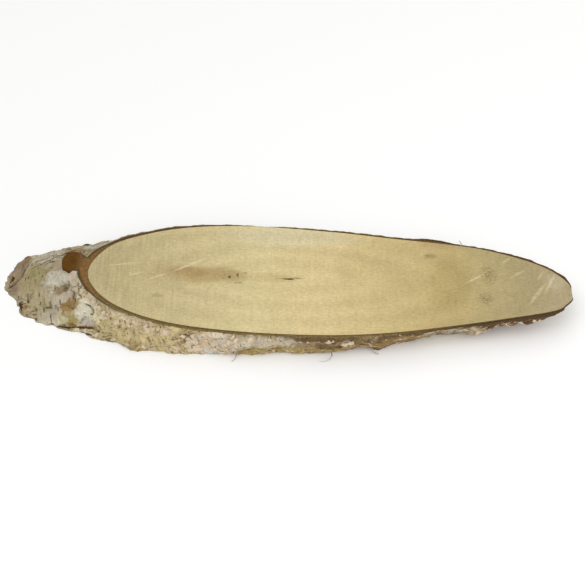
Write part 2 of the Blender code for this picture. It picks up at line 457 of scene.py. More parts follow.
class BirchColours(bpy.types.PropertyGroup):
    """Colours of the slice that a user would change"""

    cut_bark: colour("Cut bark", "Inner bark where the saw went through it", "#604b29")
    # this colour also paints the shade in the creases and at the feet of torn layers
    furrow: colour("Furrow", "Dark gaps and creases of the outer bark", "#4a3a24")
    stub: colour("Branch stub", "Sawn face of the dead branch", "#5c3c12")
    flake: colour("Paper flake", "Thin outermost layer of birch bark", "#d3c2a0")
    fibre: colour("Bast fibre", "Torn straw-like fibres of the bark", "#bd9f62")
    floor: colour("Floor", "Studio floor", "#fbfbfa")


def add(tree, kind, inputs=(), out=0, stops=(), **settings):
    """Adds a node, sets its properties and colour stops, sets or links its inputs, which come by name or in
    their order, and returns an output."""
    node = tree.nodes.new("ShaderNode" + kind)
    for name, value in settings.items():
        setattr(node, name, value)
    for i, (position, shade) in enumerate(stops):
        elements = node.color_ramp.elements
        element = elements[i] if i < len(elements) else elements.new(position)
        element.position = position
        element.color = shade
    for name, value in dict(inputs if isinstance(inputs, dict) else enumerate(inputs)).items():
        if isinstance(value, bpy.types.NodeSocket):
            tree.links.new(value, node.inputs[name])
        else:
            node.inputs[name].default_value = value
    return node.outputs[out]


def new_material(name, roughness, **sockets):
    """A material with only its Principled shader, and its node tree."""
    made = bpy.data.materials.new(name)
    made.use_nodes = True
    shader = made.node_tree.nodes["Principled BSDF"]
    shader.inputs["Roughness"].default_value = roughness
    for socket, value in sockets.items():
        shader.inputs[socket.replace("_", " ")].default_value = value
    return made, made.node_tree


def covered(made, shade, height, strength, depth):
    """Finishes a material: gives its shader the colour, and a bump this deep in mm from the height."""
    tree = made.node_tree
    shader = tree.nodes["Principled BSDF"]
    tree.links.new(shade, shader.inputs["Base Color"])
    bump = add(tree, "Bump", {"Height": height, "Strength": strength, "Distance": depth * MM})
    tree.links.new(bump, shader.inputs["Normal"])
    return made


def grey(level):
    """A grey this bright, for a tone that multiplies a colour."""
    return (level, level, level, 1.0)


def strayed(tree, place, wander, reach):
    """The place moved about by a coloured noise, by at most half this reach in mm on each axis."""
    shift = add(tree, "VectorMath", (wander, (-0.5, -0.5, -0.5)), operation="ADD")
    drift = add(tree, "VectorMath", {0: shift, "Scale": reach * MM}, operation="SCALE")
    return add(tree, "VectorMath", (place, drift), operation="ADD")


def painted(tree, under, mask, strength, code):
    """Lays a colour over the one below it where the mask is, and as strongly as that."""
    share = add(tree, "Math", (mask, strength), operation="MULTIPLY")
    return add(tree, "Mix", {0: share, 6: under, 7: linear(code)}, out=2, data_type="RGBA")


def toned(tree, shade, *tones):
    """The colour multiplied by each of the tones."""
    for tone in tones:
        shade = add(tree, "Mix", {0: 1.0, 6: shade, 7: tone}, out=2, data_type="RGBA", blend_type="MULTIPLY")
    return shade


def blotch(tree, place, centre, reach, edge):
    """1 inside an ellipsoid, 0 outside, with a soft edge. Centre and reach are in mm."""
    scale = [1 / (r * MM) for r in reach]
    shift = [-c / r for c, r in zip(centre, reach)]
    local = add(tree, "Mapping", {"Vector": place, "Location": shift, "Scale": scale})
    distance = add(tree, "VectorMath", (local,), out="Value", operation="LENGTH")
    return add(tree, "MapRange", (distance, 1 + edge, 1 - edge), interpolation_type="SMOOTHSTEP")


THROUGH_MM = 1000.0  # reach of a spot that goes right through the wood


def spot(tree, place, centre, reach, edge):
    """A blotch on the sawn wood, given by its centre and reach from above."""
    return blotch(tree, place, (*centre, 0), (*reach, THROUGH_MM), edge)


def stroke(tree, place, start, end, width):
    """1 along a straight scratch on the upper cut, 0 beside it and past its ends. All in mm."""
    run = Vector(end) - Vector(start)
    origin = (start[0] * MM, start[1] * MM, 0)
    turn = (0, 0, atan2(run.y, run.x))
    local = {"Vector": place, "Location": origin, "Rotation": turn}
    local = add(tree, "Mapping", local, vector_type="TEXTURE")
    parts = add(tree, "VectorMath", {0: local, "Scale": 1 / MM}, operation="SCALE")
    middle = add(tree, "VectorMath", (parts, (-run.length / 2, 0, 0)), operation="ADD")
    shape = add(tree, "VectorMath", (middle, (2 / run.length, 2 / width, 0)), operation="MULTIPLY")
    distance = add(tree, "VectorMath", (shape,), out="Value", operation="LENGTH")
    return add(tree, "MapRange", (distance, 1.0, 0.3), interpolation_type="SMOOTHSTEP")


# Tone of the wood along the board: place on X in mm, and its colour
WOOD_TONES = (
    (-144, "#b4a57c"),
    (-110, "#b9aa7e"),
    (-75, "#c3b385"),
    (-20, "#d0c08f"),
    (30, "#d1bd8a"),
    (72, "#c6b27d"),
    (106, "#b9a571"),
    (135, "#b1a070"),
    (165, "#a8986f"),
    (196, "#a69876"),
)

# Stains on the upper cut: centre and reach in mm, colour, strength
WOOD_STAINS = (
    ((-60, 3.5), (26, 8), "#a98f5d", 0.75),  # brown heart
    ((-66, 6), (13, 5), "#9c8052", 0.6),
    ((-36, 2.5), (9, 5.5), "#a8925f", 0.5),
    ((-12, 2.5), (16, 4.5), "#bba673", 0.5),
    ((-102, 1), (30, 15), "#b5a477", 0.4),
    ((111, 3), (13, 26), "#ad9a62", 0.6),  # olive patch
    ((97.4, 30.5), (4, 2.4), "#98854f", 0.6),  # pin knot
    ((-87.5, -19.3), (3.4, 2), "#a29064", 0.6),
    ((0, 44), (45, 9), "#cfc5a2", 0.6),  # pale sapwood by the bare edge
    ((60, 22), (30, 14), "#bfab78", 0.45),
    ((104, 43), (14, 5), "#a98e66", 0.5),
    ((184, 10), (7, 8), "#b5a98a", 0.6),
)

# Dark specks beside the pith and at the pin knot's heart, and painted shade along the pith's crack: centre
# and reach in mm, strength
WOOD_SPECKS_AND_CRACK_SHADE = (
    ((-39.7, 1.9), (1, 1.2), 0.9),
    ((-34.3, 4.6), (0.7, 1.2), 0.8),
    ((-33.8, 2.9), (0.8, 1), 0.75),
    ((-28.7, 6.3), (0.9, 0.5), 0.6),
    ((-32, -3.1), (1.3, 0.5), 0.6),
    ((-34.6, -3.6), (1, 0.5), 0.5),
    ((-44, 0), (0.7, 0.6), 0.35),
    ((-43, 4), (0.8, 0.5), 0.35),
    # painted shade along the pith's crack, which the sawn face only dents 0.5 mm
    ((0.6, 2.4), (4, 0.7), 0.9),
    ((2.4, 2.5), (2.2, 0.9), 0.8),
    ((6.9, 3.4), (2.8, 0.5), 0.7),
    ((-5.5, 2.4), (3, 0.4), 0.35),
    ((96, 31), (1.4, 0.8), 0.4),
)

# Spots of blue-grey mould on the upper cut: centre and reach in mm
MOULD_MM = (((139, 15), (4.6, 7.5)), ((137, -8), (4.6, 6)))

# Pale scratches across the upper cut: start, end and width in mm, and strength
SCRATCHES_MM = (
    ((-128.7, 7.3), (-95.4, 14.2), 2.4, 0.6),
    ((-111.6, -1.5), (-97.7, 4.1), 2.4, 0.6),
    ((-98.5, -4.9), (-80.6, 4.2), 2.6, 0.7),
    ((-82, 3.4), (-51.7, 22.7), 3, 0.8),
    ((120.2, 3.5), (138.2, 17.1), 2.2, 0.7),
    ((146.6, 25.4), (155.1, 32.9), 3, 0.5),
    ((151.8, 11.1), (165, 21.6), 3, 0.4),
    ((171.4, 10.3), (177.1, 20.4), 2.6, 0.5),
    ((163.5, -16.8), (180, 12.8), 4, 0.5),
    ((176, -4), (184.9, 19.8), 3.4, 0.5),
)

PITH_MM = (-2.0, 4.0)
RING_SPACING = 2.2 * MM
BANDS_PER_UNIT = 20  # the wave pattern has this many rings to one unit

# What the grain and the clouding do to the wood's colour: darker is warmer
GRAIN_TONES = ((0.34, (0.9, 0.89, 0.85, 1)), (0.5, (1, 1, 1, 1)), (0.66, (1.07, 1.07, 1.08, 1)))
CLOUD_TONES = ((0.36, (0.96, 0.965, 0.94, 1)), (0.5, (1, 1, 1, 1)), (0.64, (1.035, 1.02, 1.03, 1)))
SAW_TURN = radians(3.4)  # the saw's marks run this much off square to the board
SAW_STRETCH = 20  # and are this many times longer than wide


def sawn_birch():
    """Dry sawn birch, never sanded or oiled: straw-coloured and matt, with faint long oval rings, short
    dashes of end grain along the slant and fine marks of the saw across the board."""
    made, tree = new_material("sawn_birch", 0.72, Specular_IOR_Level=0.3)
    place = add(tree, "TexCoord", out="Object")
    wander = add(tree, "TexNoise", {"Vector": place, "Scale": 1 / (22 * MM), "Detail": 3.0}, out="Color")
    jitter = add(tree, "TexNoise", {"Vector": place, "Scale": 1 / (1.4 * MM)}, out="Color")
    warped = strayed(tree, place, wander, 7)
    close = strayed(tree, place, jitter, 1.6)

    first, last = WOOD_TONES[0][0], WOOD_TONES[-1][0]
    along = add(tree, "SeparateXYZ", (strayed(tree, place, wander, 26),))
    share = add(tree, "MapRange", (along, first * MM, last * MM))
    tones = [((x - first) / (last - first), linear(code)) for x, code in WOOD_TONES]
    wood = add(tree, "ValToRGB", (share,), stops=tones)
    for centre, reach, code, strength in WOOD_STAINS:
        wood = painted(tree, wood, spot(tree, warped, centre, reach, 0.45), strength, code)

    slant = THICKNESS / hypot(THICKNESS, bpy.context.scene.birch_sizes.log_run)
    pith = (-PITH_MM[0] * MM * slant, -PITH_MM[1] * MM, 0)
    section = add(tree, "Mapping", {"Vector": warped, "Location": pith, "Scale": (slant, 1, 0)})
    wave = {"Vector": section, "Scale": 1 / (BANDS_PER_UNIT * RING_SPACING), "Distortion": 1.6, "Detail": 2.0,
            "Detail Scale": 1.5}
    rings = add(tree, "TexWave", wave, wave_type="RINGS", rings_direction="Z")
    rings = add(tree, "MapRange", (rings, 0, 1, 0.95, 1.03))
    dashes = add(tree, "Mapping", {"Vector": place, "Scale": (0.5, 1, 1)})
    grain = add(tree, "TexNoise", {"Vector": dashes, "Scale": 1 / (1.3 * MM), "Detail": 3.0})
    grain_tone = add(tree, "ValToRGB", (grain,), stops=GRAIN_TONES)
    cloud = add(tree, "TexNoise", {"Vector": place, "Scale": 1 / (8 * MM), "Detail": 4.0, "Roughness": 0.6})
    cloud_tone = add(tree, "ValToRGB", (cloud,), stops=CLOUD_TONES)
    fleck = add(tree, "TexNoise", {"Vector": warped, "Scale": 1 / (1.9 * MM), "Detail": 1.0})
    fleck = add(tree, "MapRange", (fleck, 0.64, 0.74, 1, 1.14))
    turned = {"Vector": place, "Rotation": (0, 0, SAW_TURN), "Scale": (1, SAW_STRETCH, 1)}
    turned = add(tree, "Mapping", turned, vector_type="TEXTURE")
    saw = add(tree, "TexNoise", {"Vector": turned, "Scale": 1 / (1.3 * MM), "Detail": 2.0})
    saw = add(tree, "MapRange", (saw, 0.35, 0.65, -0.1, 0.1))
    saw_left = add(tree, "MapRange", (along, -60 * MM, -140 * MM, 0.28, 1))
    saw = add(tree, "Math", (saw, saw_left, 1), operation="MULTIPLY_ADD")
    wood = toned(tree, wood, rings, grain_tone, cloud_tone, fleck, saw)

    broken = add(tree, "TexNoise", {"Vector": place, "Scale": 1 / (2.5 * MM), "Detail": 3.0})
    for start, end, width, strength in SCRATCHES_MM:
        left = add(tree, "MapRange", (broken, 0.35, 0.6, strength / 3, strength))
        wood = painted(tree, wood, stroke(tree, close, start, end, width), left, "#dccfa2")
    pepper = add(tree, "TexNoise", {"Vector": place, "Scale": 1 / (2 * MM), "Detail": 2.0})
    pepper = add(tree, "MapRange", (pepper, 0.38, 0.62, 0, 0.8))
    for centre, reach in MOULD_MM:
        wood = painted(tree, wood, spot(tree, warped, centre, reach, 0.7), pepper, "#766a48")
    # dark specks, and painted shade along the pith's crack
    for centre, reach, strength in WOOD_SPECKS_AND_CRACK_SHADE:
        wood = painted(tree, wood, spot(tree, close, centre, reach, 0.5), strength, "#4f3b1f")
    height = add(tree, "Math", (grain, saw), operation="ADD")
    return covered(made, wood, height, 0.35, 0.4)


def cut_bark():
    """Inner bark that the saw went through: dark brown, matt and fibrous. Outwards it turns paler, like
    cork, along the near edge, and darker along the far side and towards the right end. At the left end its
    outer rim is darkened with painted shade, where it falls away to the bark."""
    made, tree = new_material("cut_bark", 0.9, Specular_IOR_Level=0.1)
    dark = bpy.context.scene.birch_colours.cut_bark
    place = add(tree, "TexCoord", out="Object")
    apart = add(tree, "SeparateXYZ", (place,))
    across = add(tree, "Attribute", out="Fac", attribute_name="across")
    near = add(tree, "ValToRGB", (across,), stops=((0.1, dark), (0.8, linear("#7d6a42"))))
    # painted shade: at the left end the ring's outer rim is darkened from where it falls away to the bark
    left_brown_lip_shade = add(tree, "ValToRGB", (across,), stops=((0.7, linear("#7e5e36")), (0.88, linear("#4f3b1b"))))
    far = add(tree, "ValToRGB", (across,), stops=((0.1, linear("#715834")), (0.8, linear("#48351a"))))
    left = add(tree, "MapRange", (apart, -118 * MM, -140 * MM))
    right = add(tree, "MapRange", (apart, 60 * MM, 130 * MM))
    back = add(tree, "MapRange", (apart.node.outputs["Y"], 10 * MM, 30 * MM))
    back = add(tree, "Math", (back, right), operation="MAXIMUM")
    brown = add(tree, "Mix", {0: back, 6: near, 7: far}, out=2, data_type="RGBA")
    brown = add(tree, "Mix", {0: left, 6: brown, 7: left_brown_lip_shade}, out=2, data_type="RGBA")
    fibres = {"Vector": place, "Scale": 1 / (1.6 * MM), "Detail": 5.0, "Roughness": 0.65}
    fibres = add(tree, "TexNoise", fibres)
    tone = add(tree, "ValToRGB", (fibres,), stops=((0.3, grey(0.55)), (0.52, grey(1)), (0.75, grey(1.5))))
    return covered(made, toned(tree, brown, tone), fibres, 0.6, 0.5)


# Tones of the bark between its patches, from dark to pale: share of the clouding, and colour
BARK_TONES = ((0.3, "#7d6a4b"), (0.42, "#a2926c"), (0.52, "#b3a17c"), (0.6, "#b9ac93"), (0.72, "#c6bda6"))

# Patches of the bark that have a colour of their own: centre and reach in mm, colour, strength
BARK_PATCHES = (
    ((-168, 0, 8), (34, 34, 16), "#b0a58b", 0.6),
    ((-179, 4, 5), (14, 13, 10), "#a2956c", 0.9),  # tan triangle by the tip
    ((-174, 9, 7.5), (9, 5, 6), "#9a9064", 0.8),
    ((-190, 11, 1.5), (7, 20, 3.6), "#8c7862", 0.85),  # underside of the lip
    ((-186, 25, 2.5), (4, 5, 4), "#8f6c46", 0.8),
    ((-167, 27, 5), (15, 9, 7), "#bdb49d", 0.85),  # grey ridges at the far side
    ((-133, 33, 11), (14, 9, 8), "#bab7aa", 0.85),
    ((-151, 27, 10), (8, 6, 7), "#8a7048", 0.8),  # collar behind the stub
    ((-161, 9, 11), (4, 9, 5), "#b8a587", 0.7),
    ((-157, -0.5, 13), (14, 7.5, 7), "#c9c3af", 0.95),  # chalky patch
    ((-149, -3, 15.5), (4, 5, 5), "#c3b29c", 0.7),
    ((-154, -10.5, 12.5), (7, 3.6, 6), "#8f7c5c", 0.85),  # brown-flecked patch
    ((-172, -16, 4.5), (10, 10, 5), "#b0a27c", 0.75),
    ((-161, -26, 4.5), (8, 6, 4), "#b8ac94", 0.8),
    ((-165, -21, 5.5), (4, 4, 4), "#98905f", 0.75),
    ((-181, -21, 1.2), (8, 5, 2.4), "#9d8058", 0.7),
    ((-157, -20, 8.6), (5.5, 4.5, 5), "#beb19b", 0.9),  # lilac fold
    ((-153, -17.6, 10.6), (5, 3.4, 4), "#bcaf98", 0.95),
    ((-148.5, -16.2, 13.2), (5, 3, 4), "#bbad96", 0.95),
    ((-148.5, -24.5, 9.5), (6.5, 4.6, 5), "#8f7346", 0.95),  # brown streaks
    ((-147.5, -29.5, 6.5), (6.5, 4, 4), "#a5946c", 0.75),
    ((-144.5, -33.6, 4.8), (3.4, 2.6, 3), "#a3964a", 0.75),
    ((-153, -32.6, 3.4), (6, 3, 3), "#c9c29e", 0.85),
    ((-140.5, -13, 16), (3.8, 9, 5), "#cdbf9e", 0.9),
    ((-134, -22.5, 15.5), (6, 5, 4), "#ccbc9c", 0.85),
    ((-135.4, -29.3, 11.2), (7.8, 6.8, 7), "#d2ccb4", 1),  # pale flap
    ((-134.5, -35, 7), (6, 3.6, 3.4), "#b9b09f", 0.9),
    ((-128, -33.5, 11), (3.6, 6, 7), "#cdc39f", 0.9),
    ((-141, -37.2, 3), (13, 2.6, 1), "#7a5632", 0.9),  # slit under the peeled layer
    ((-134, -40.2, 0.8), (13, 4, 2), "#d2c9aa", 0.95),
    ((-112, -42, 9), (17, 12, 12), "#c6b384", 0.92),  # moss-yellow stretch
    ((-108, -38, 17), (20, 9, 2.2), "#cbb995", 0.6),
    ((-99, -54, 2), (7, 7, 5), "#947a45", 0.8),  # burl
    ((-75, -52, 8), (26, 9, 12), "#c8b586", 0.9),
    ((-64, -52, 11), (8, 6, 8), "#ab9468", 0.7),
    ((-45, -54, 8), (17, 9, 12), "#cfc0a8", 0.9),
    ((-45, -55, 6), (8, 7, 9), "#dbd6c8", 0.9),
    ((-8, -53, 12), (29, 7, 5.5), "#c5b8a0", 0.95),  # smooth grey strip
    ((-8, -53, 3), (30, 7, 4), "#ab9760", 0.85),
    ((14, -51, 4.5), (14, 6, 3), "#c7b37a", 0.7),
    ((26, -50, 11), (20, 8, 8), "#97805a", 0.85),
    ((26, -49, 17), (30, 8, 3.6), "#604a29", 0.85),
    ((32, -50, 8.5), (9, 6, 4.4), "#6a5330", 0.75),
    ((45, -48.5, 10), (4.4, 6, 6), "#cdbc9b", 0.7),
    ((66, -43, 8), (32, 10, 12), "#8a6e4a", 0.95),  # bare bast
    ((80, -40, 16.5), (46, 8, 3), "#604a2a", 0.9),
    ((112, -34, 12), (19, 9, 3), "#c3b8a8", 0.8),  # pale scallops
    ((162, -24, 12), (38, 16, 14), "#7d5a3c", 0.95),  # red-brown ragged bark
    ((132, -33, 10), (7, 6, 5), "#b89f84", 0.8),
    ((150, -27, 15.5), (34, 8, 2), "#4d361f", 0.8),
    ((-60, 50, 10), (60, 14, 14), "#8a7553", 0.5),
    ((110, 40, 10), (60, 16, 14), "#745c3e", 0.6),
)


def birch_bark():
    """Old birch bark, weathered and scaling: tan cork with chalky, lilac, olive and brown patches, painted
    shade in the gaps between its scales and in its creases, and lenticels that run round the trunk."""
    made, tree = new_material("birch_bark", 0.88, Specular_IOR_Level=0.25)
    furrow = bpy.context.scene.birch_colours.furrow
    place = add(tree, "TexCoord", out="Object")
    wander = {"Vector": place, "Scale": 1 / (5 * MM), "Detail": 4.0, "Roughness": 0.6}
    warped = strayed(tree, place, add(tree, "TexNoise", wander, out="Color"), 11)

    patch = add(tree, "TexNoise", {"Vector": warped, "Scale": 1 / (14 * MM), "Detail": 3.0})
    bark = add(tree, "ValToRGB", (patch,), stops=[(share, linear(code)) for share, code in BARK_TONES])
    for centre, reach, code, strength in BARK_PATCHES:
        bark = painted(tree, bark, blotch(tree, warped, centre, reach, 0.25), strength, code)

    tilt = atan2(THICKNESS, bpy.context.scene.birch_sizes.log_run)
    trunk = add(tree, "Mapping", {"Vector": place, "Rotation": (0, tilt, 0)})
    layer = add(tree, "Attribute", out="Fac", attribute_name="layer")
    layer = add(tree, "MapRange", (layer, 0, 1, 0.9, 1.1))
    streak = add(tree, "Mapping", {"Vector": trunk, "Scale": (1, 0.25, 0.25)})
    streak = add(tree, "TexNoise", {"Vector": streak, "Scale": 1 / (1.5 * MM), "Detail": 3.0})
    streak = add(tree, "MapRange", (streak, 0.3, 0.7, 0.84, 1.14))
    grain = add(tree, "TexNoise", {"Vector": warped, "Scale": 1 / MM, "Detail": 4.0, "Roughness": 0.7})
    grain_tone = add(tree, "MapRange", (grain, 0.3, 0.7, 0.82, 1.32))
    bark = toned(tree, bark, layer, streak, grain_tone)

    dash = add(tree, "Mapping", {"Vector": trunk, "Scale": (1, 0.22, 0.22)})
    dash = add(tree, "TexVoronoi", {"Vector": dash, "Scale": 1 / (2.4 * MM), "Randomness": 0.9})
    dash = add(tree, "MapRange", (dash, 0.26, 0.16))
    where = add(tree, "TexNoise", {"Vector": place, "Scale": 1 / (12 * MM), "Detail": 1.0})
    where = add(tree, "MapRange", (where, 0.5, 0.58, 0, 0.85))
    dashes = add(tree, "Math", (dash, where), operation="MULTIPLY")
    speck = add(tree, "TexNoise", {"Vector": place, "Scale": 1 / (1.7 * MM), "Detail": 2.0})
    speck = add(tree, "MapRange", (speck, 0.59, 0.68, 0, 0.8))
    scaly = add(tree, "MapRange", (add(tree, "SeparateXYZ", (place,)), -135 * MM, -115 * MM, 0.25))
    speck = add(tree, "Math", (speck, scaly), operation="MULTIPLY")
    # painted shade in the creases and at the feet of torn layers, and the sawn bark's own dark at both ends
    gaps = add(tree, "Attribute", out="Fac", attribute_name="shade_and_cut_dark")
    dark = add(tree, "Math", (dashes, speck), operation="MAXIMUM")
    dark = add(tree, "Math", (dark, gaps), operation="MAXIMUM")
    dark = add(tree, "MapRange", (dark, 0, 1, 0, 0.94))
    bark = add(tree, "Mix", {0: dark, 6: bark, 7: furrow}, out=2, data_type="RGBA")
    height = add(tree, "Math", (grain, dashes), operation="SUBTRACT")
    return covered(made, bark, height, 0.5, 0.5)


def dead_branch():
    """Sawn face of a dead branch: dark rust-brown and matt, with end grain in rings round its middle."""
    made, tree = new_material("dead_branch", 0.85, Specular_IOR_Level=0.1)
    place = add(tree, "TexCoord", out="Object")
    centre = (-FACE_CENTRE_MM[0] * MM, -FACE_CENTRE_MM[1] * MM, 0)
    local = add(tree, "Mapping", {"Vector": place, "Location": centre})
    wave = {"Vector": local, "Scale": 1 / (BANDS_PER_UNIT * 1.6 * MM), "Distortion": 3.0, "Detail": 3.0,
            "Detail Scale": 2.0}
    rings = add(tree, "TexWave", wave, wave_type="RINGS", rings_direction="Z")
    rings = add(tree, "MapRange", (rings, 0, 1, 0.88, 1.08))
    fibres = {"Vector": place, "Scale": 1 / (1.3 * MM), "Detail": 5.0, "Roughness": 0.65}
    fibres = add(tree, "TexNoise", fibres)
    tone = add(tree, "ValToRGB", (fibres,), stops=((0.3, grey(0.6)), (0.5, grey(1)), (0.72, grey(1.35))))
    brown = bpy.context.scene.birch_colours.stub
    right = add(tree, "MapRange", (add(tree, "SeparateXYZ", (place,)), -148 * MM, -142 * MM))
    brown = add(tree, "Mix", {0: right, 6: brown, 7: linear("#745732")}, out=2, data_type="RGBA")
    return covered(made, toned(tree, brown, tone, rings), fibres, 0.5, 0.5)


def tinted(name, shade, roughness, low, high):
    """A matt material of one colour that varies from place to place."""
    made, tree = new_material(name, roughness, Specular_IOR_Level=0.25)
    place = add(tree, "TexCoord", out="Object")
    cloud = add(tree, "TexNoise", {"Vector": place, "Scale": 1 / (4 * MM), "Detail": 4.0})
    tone = add(tree, "ValToRGB", (cloud,), stops=((0.35, linear(low)), (0.65, linear(high))))
    mixed = add(tree, "Mix", {0: 0.6, 6: shade, 7: tone}, out=2, data_type="RGBA")
    return covered(made, mixed, cloud, 0.3, 0.3)


def paper_bark():
    """Outermost papery layer of birch bark, peeled and curled: chalky pink to cream, with a little sheen."""
    return tinted("paper_bark", bpy.context.scene.birch_colours.flake, 0.7, "#b59a7a", "#e4d4be")


def torn_bast():
    """Torn bast fibres: dry and straw-like, here brown and there pale yellow."""
    return tinted("torn_bast", bpy.context.scene.birch_colours.fibre, 0.75, "#7d6138", "#d9c48a")


def weathered_hair():
    """Hairs of bark fibre bleached by the weather: matt, warm grey."""
    return tinted("weathered_hair", linear("#a3998a"), 0.8, "#857a6a", "#c4bcb0")


def thickened(bm, faces, offset):
    """Makes a sheet a closed solid: its faces are pulled away by the offset, with walls round them."""
    made = bmesh.ops.extrude_face_region(bm, geom=list(faces))
    moved = [g for g in made["geom"] if isinstance(g, bmesh.types.BMVert)]
    bmesh.ops.translate(bm, verts=moved, vec=offset)


SHARP = radians(50)  # an edge that turns more than this stays sharp


def finished(bm, name, slot, *materials):
    """Makes the mesh a piece that rides on the slice, with these materials. The slot is not used."""
    bmesh.ops.recalc_face_normals(bm, faces=bm.faces)
    mesh = bpy.data.meshes.new(name)
    bm.to_mesh(mesh)
    bm.free()
    for made in materials:
        mesh.materials.append(made)
    mesh.shade_smooth()
    mesh.set_sharp_from_angle(angle=SHARP)
    piece = bpy.data.objects.new(name, mesh)
    bpy.context.scene.collection.objects.link(piece)
    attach(piece, "root")
    return piece


NECK_DEPTH = 0.1  # share of the thickness at which a piece has drawn in under the bark
NECK = 4.0 * MM
BARE_MARGIN = 0.6 * MM  # of bark that is left over the wood where a plate has broken away
LEFT_RING = 2.0 * MM  # how much further the ring laps the wood at the left end
CORNER_RING = 1.2 * MM  # and at the far right


def deepened(bm):
    """Turns a flat sheet into a block one unit deep, with a loop for a neck just under each cut."""
    thickened(bm, bm.faces, (0, 0, -1))
    for depth in (NECK_DEPTH, 1 - NECK_DEPTH):
        whole = bm.verts[:] + bm.edges[:] + bm.faces[:]
        bmesh.ops.bisect_plane(bm, geom=whole, plane_co=(0, 0, -depth), plane_no=(0, 0, 1))


def wood_reach(normal, reach, depth):
    """How far the wood goes past its edge: never out through the bark, and drawn in at a neck."""
    if depth not in (0, 1):
        return -NECK
    corner = (2 * max(normal.x, 0) * max(normal.y, 0)) ** 2
    return min(reach - BARE_MARGIN, -LEFT_RING * max(-normal.x, 0) ** 2 - CORNER_RING * corner)


def crossings(line, x):
    """Lowest and highest y at which a closed line meets this x."""
    found = []
    for a, b in zip(line, line[1:] + line[:1]):
        if (a.x <= x) != (b.x <= x):
            found.append(a.y + (b.y - a.y) * (x - a.x) / (b.x - a.x))
    return min(found), max(found)


EDGE_COLUMNS = 720
WOOD_COLUMNS = 380
WOOD_ROWS = 100
SAW_MARK = 0.04 * MM
SAW_SPACING = 4.0 * MM
CRACK_MM = ((1.4, 2.5), (5.0, 0.8), 0.5)  # the pith's crack: centre, reach, depth
END_INSET = 0.0001  # share of the length that is left out at each tip


class BIRCH_OT_sawn_wood(bpy.types.Operator):
    """Add the wood between the two cuts, with the saw's marks and the pith's crack"""

    bl_idname = "birch.sawn_wood"
    bl_label = "Sawn Wood"

    def execute(self, context):
        log = Log(EDGE_COLUMNS)
        bm = bmesh.new()
        bmesh.ops.create_grid(bm, x_segments=WOOD_COLUMNS, y_segments=WOOD_ROWS, size=0.5)
        deepened(bm)
        edges = {}
        for depth in (0, NECK_DEPTH, 1 - NECK_DEPTH, 1):
            edges[depth] = self.outline(log, depth)
        for vert in bm.verts:
            depth = round(-vert.co.z, 3)
            share = vert.co.x + 0.5
            share = 0.7 * share + 0.3 * (0.5 - 0.5 * cos(pi * share))
            left, right = min(p.x for p in edges[depth]), max(p.x for p in edges[depth])
            x = left + (right - left) * (END_INSET + (1 - 2 * END_INSET) * share)
            near, far = crossings(edges[depth], x)
            y = near + (far - near) * (vert.co.y + 0.5)
            rough = self.below(x, y) * (1 if depth == 0 else -1 if depth == 1 else 0)
            vert.co = (x - log.trunk.x * depth, y, THICKNESS * (1 - depth) - rough)
        finished(bm, "sawn_wood", "sawn_wood", sawn_birch())
        return {"FINISHED"}

    def outline(self, log, depth):
        """The wood's edge at this depth, as points."""
        points = []
        for i in range(log.columns):
            past = wood_reach(log.normals[i], log.reach(i, 1 - depth), depth)
            points.append(log.rim[i] + log.normals[i] * past)
        return points

    def below(self, x, y):
        """How far the sawn face lies below the cut."""
        mark = SAW_MARK * (1 + noise.noise(Vector((x, y / SAW_STRETCH, 0)) / SAW_SPACING))
        (cx, cy), (rx, ry), depth = CRACK_MM
        distance = hypot((x / MM - cx) / rx, (y / MM - cy) / ry)
        return mark + depth * MM * exp(-distance * distance)


RING_COLUMNS = 1000
RING_ROWS = 7
RING_LAP = 0.4 * MM  # how far the ring laps under the wood's edge
RING_INSET = 0.3 * MM  # and how far it stops short of the bark's outside, more where the lower edge is thin
NARROWED = 0.65  # share of its width that the ring loses towards the right end
NARROWS_MM = (70.0, 140.0)  # between these places on X
LIP = 0.88  # share of its width from which the ring falls away to the bark
FIBRE_SPACING = 1.8 * MM
FIBRE_HEIGHT = 0.12 * MM


